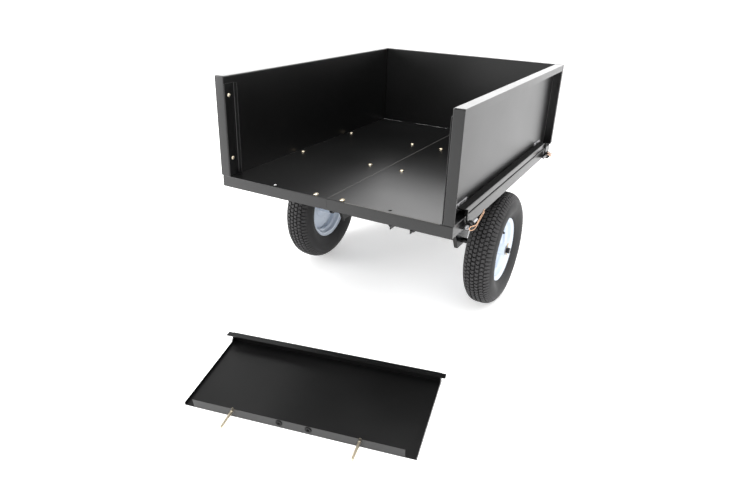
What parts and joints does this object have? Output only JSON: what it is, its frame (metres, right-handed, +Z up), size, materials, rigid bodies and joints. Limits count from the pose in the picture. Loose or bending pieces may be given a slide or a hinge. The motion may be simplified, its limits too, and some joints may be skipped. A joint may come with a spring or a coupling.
{
  "type": "garden tractor trailer",
  "caption": "Tipping steel bed on pneumatic wheels with fold-down sides, a drawbar with a hitch clevis, and a tailgate lifted out behind.",
  "frame": {"origin": "on the ground, in the middle of the footprint of the parked trailer and its tailgate", "axes": "+Y forward along the drawbar, +X to the right seen from the rear, +Z up"},
  "size_m": [0.8579, 2.1244, 0.8417],
  "materials": {
    "black_coat": "fine textured black powder coat",
    "yellow_zinc": "yellow passivated zinc plate on steel",
    "bright_zinc": "bright zinc plate",
    "white_paint": "white gloss paint",
    "tyre_rubber": "moulded rubber",
    "stem_rubber": "smooth rubber",
    "brass_cotter": "brass coloured wire"
  },
  "bodies": {
    "chassis": {"axle": "black_coat", "drawbar": "black_coat", "hitch_clevis": "black_coat", "latch_stand": "black_coat", "latch_pivot_bolt": "bright_zinc", "left_wheel_washer": "bright_zinc", "right_wheel_washer": "bright_zinc", "left_cotter_pin": "brass_cotter", "right_cotter_pin": "brass_cotter"},
    "bed": {"left_floor_pan": "black_coat", "right_floor_pan": "black_coat", "front_wall": "black_coat", "rear_splice_plate": "black_coat", "latch_keeper": "black_coat", "left_centre_bracket": "black_coat", "left_outer_bracket": "black_coat", "right_centre_bracket": "black_coat", "right_outer_bracket": "black_coat", "left_rear_lug": "black_coat", "left_rear_pin": "yellow_zinc", "left_front_lug": "black_coat", "left_front_pin": "yellow_zinc", "right_rear_lug": "black_coat", "right_rear_pin": "yellow_zinc", "right_front_lug": "black_coat", "right_front_pin": "yellow_zinc", "floor_bolt_01": "yellow_zinc", "floor_bolt_02": "yellow_zinc", "floor_bolt_03": "yellow_zinc", "floor_bolt_04": "yellow_zinc", "floor_bolt_05": "yellow_zinc", "floor_bolt_06": "yellow_zinc", "floor_bolt_07": "yellow_zinc", "floor_bolt_08": "yellow_zinc", "floor_bolt_09": "yellow_zinc", "floor_bolt_10": "yellow_zinc"},
    "left_wheel": {"left_tyre": "tyre_rubber", "left_rim": "white_paint", "left_hub": "white_paint", "left_valve_stem": "stem_rubber"},
    "right_wheel": {"right_tyre": "tyre_rubber", "right_rim": "white_paint", "right_hub": "white_paint", "right_valve_stem": "stem_rubber"},
    "left_side": {"left_side_wall": "black_coat", "left_hinge_rail": "black_coat", "left_tailgate_guide": "black_coat"},
    "right_side": {"right_side_wall": "black_coat", "right_hinge_rail": "black_coat", "right_tailgate_guide": "black_coat"},
    "left_rear_bail_body": {"left_rear_bail": "yellow_zinc"},
    "left_front_bail_body": {"left_front_bail": "yellow_zinc"},
    "right_rear_bail_body": {"right_rear_bail": "yellow_zinc"},
    "right_front_bail_body": {"right_front_bail": "yellow_zinc"},
    "dump_lever": {"latch_lever": "black_coat"},
    "hitch_drop_pin": {"hitch_pin": "bright_zinc"},
    "tailgate": {"tailgate_panel": "black_coat", "left_drop_pin": "yellow_zinc", "right_drop_pin": "yellow_zinc"}
  },
  "joints": [
    {"name": "bed_tip", "type": "hinge", "parent": "chassis", "child": "bed", "pos_m": [0, -0.09826, 0.2], "axis": [1, 0, 0], "range_deg": [0, 42]},
    {"name": "left_wheel_spin", "type": "hinge", "parent": "chassis", "child": "left_wheel", "pos_m": [-0.36, -0.09826, 0.2], "axis": [1, 0, 0], "continuous": true},
    {"name": "right_wheel_spin", "type": "hinge", "parent": "chassis", "child": "right_wheel", "pos_m": [0.36, -0.09826, 0.2], "axis": [1, 0, 0], "continuous": true},
    {"name": "left_side_fold", "type": "hinge", "parent": "bed", "child": "left_side", "pos_m": [-0.404, -0.06827, 0.44222], "axis": [0, -0.9891, 0.1473], "range_deg": [0, 90]},
    {"name": "right_side_fold", "type": "hinge", "parent": "bed", "child": "right_side", "pos_m": [0.404, -0.06827, 0.44222], "axis": [0, 0.9891, -0.1473], "range_deg": [0, 90]},
    {"name": "left_rear_bail_swing", "type": "hinge", "parent": "bed", "child": "left_rear_bail_body", "pos_m": [-0.404, -0.51039, 0.50805], "axis": [0, 0.1473, 0.9891], "range_deg": [0, 100]},
    {"name": "left_front_bail_swing", "type": "hinge", "parent": "bed", "child": "left_front_bail_body", "pos_m": [-0.404, 0.37386, 0.37639], "axis": [0, -0.1473, -0.9891], "range_deg": [0, 100]},
    {"name": "right_rear_bail_swing", "type": "hinge", "parent": "bed", "child": "right_rear_bail_body", "pos_m": [0.404, -0.51039, 0.50805], "axis": [0, -0.1473, -0.9891], "range_deg": [0, 100]},
    {"name": "right_front_bail_swing", "type": "hinge", "parent": "bed", "child": "right_front_bail_body", "pos_m": [0.404, 0.37386, 0.37639], "axis": [0, 0.1473, 0.9891], "range_deg": [0, 100]},
    {"name": "dump_lever_swing", "type": "hinge", "parent": "chassis", "child": "dump_lever", "pos_m": [0, 0.49803, 0.23254], "axis": [1, 0, 0], "range_deg": [0, 20]},
    {"name": "hitch_pin_lift", "type": "slide", "parent": "chassis", "child": "hitch_drop_pin", "axis": [0, 0.1473, 0.9891], "range_m": [0, 0.075]},
    {"name": "tailgate_draw_away", "type": "slide", "parent": "chassis", "child": "tailgate", "axis": [0.1874, -0.9823, 0], "range_m": [0, 0.3]}
  ]
}
